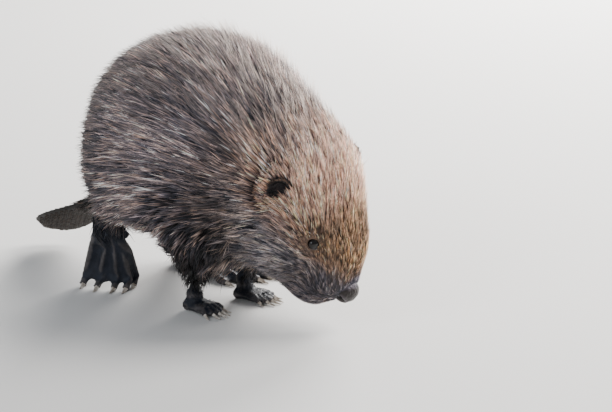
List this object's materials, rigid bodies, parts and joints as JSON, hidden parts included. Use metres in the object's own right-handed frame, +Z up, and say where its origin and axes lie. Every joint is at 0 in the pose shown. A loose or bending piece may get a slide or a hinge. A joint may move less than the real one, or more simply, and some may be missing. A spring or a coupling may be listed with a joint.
{
  "type": "beaver",
  "caption": "Young beaver as a still life-size model, walking with its back humped and its nose close to the ground, furred, with webbed hind feet and a flat scaly tail.",
  "frame": {"origin": "on the floor, under the middle of the animal's bounding box", "axes": "+X is the way the beaver walks, +Y its left side, +Z up"},
  "size_m": [0.3842, 0.178, 0.2363],
  "materials": {
    "back_fur": "long grey-brown guard hair over dense dark underfur, pale tips",
    "head_fur": "shorter reddish-brown hair, lying back from the nose",
    "dark_fur": "darker brown hair of the legs and underside",
    "ear_skin": "dark skin with short black-brown down",
    "foot_skin": "bare, creased, blue-black skin, slightly damp",
    "tail_skin": "flat dark brown scales",
    "nose": "moist, finely pebbled black skin",
    "claws": "horn, pale grey-tan with darker bases",
    "eyes": "wet black"
  },
  "bodies": {
    "root": {"claw_fore_left_1": "claws", "claw_fore_left_2": "claws", "claw_fore_left_3": "claws", "claw_fore_left_4": "claws", "claw_fore_left_5": "claws", "claw_fore_right_1": "claws", "claw_fore_right_2": "claws", "claw_fore_right_3": "claws", "claw_fore_right_4": "claws", "claw_fore_right_5": "claws", "claw_hind_left_1": "claws", "claw_hind_left_2": "claws", "claw_hind_left_3": "claws", "claw_hind_left_4": "claws", "claw_hind_left_5": "claws", "claw_hind_right_1": "claws", "claw_hind_right_2": "claws", "claw_hind_right_3": "claws", "claw_hind_right_4": "claws", "claw_hind_right_5": "claws", "ear_left": "ear_skin", "ear_right": "ear_skin", "eye_left": "eyes", "eye_right": "eyes", "foreleg_left": "dark_fur", "foreleg_right": "dark_fur", "forepaw_left": "foot_skin", "forepaw_right": "foot_skin", "head": "head_fur", "hindfoot_left": "foot_skin", "hindfoot_right": "foot_skin", "hindleg_left": "dark_fur", "hindleg_right": "dark_fur", "neck": "head_fur", "nose": "nose", "tail": "tail_skin", "trunk": "back_fur"}
  },
  "joints": []
}
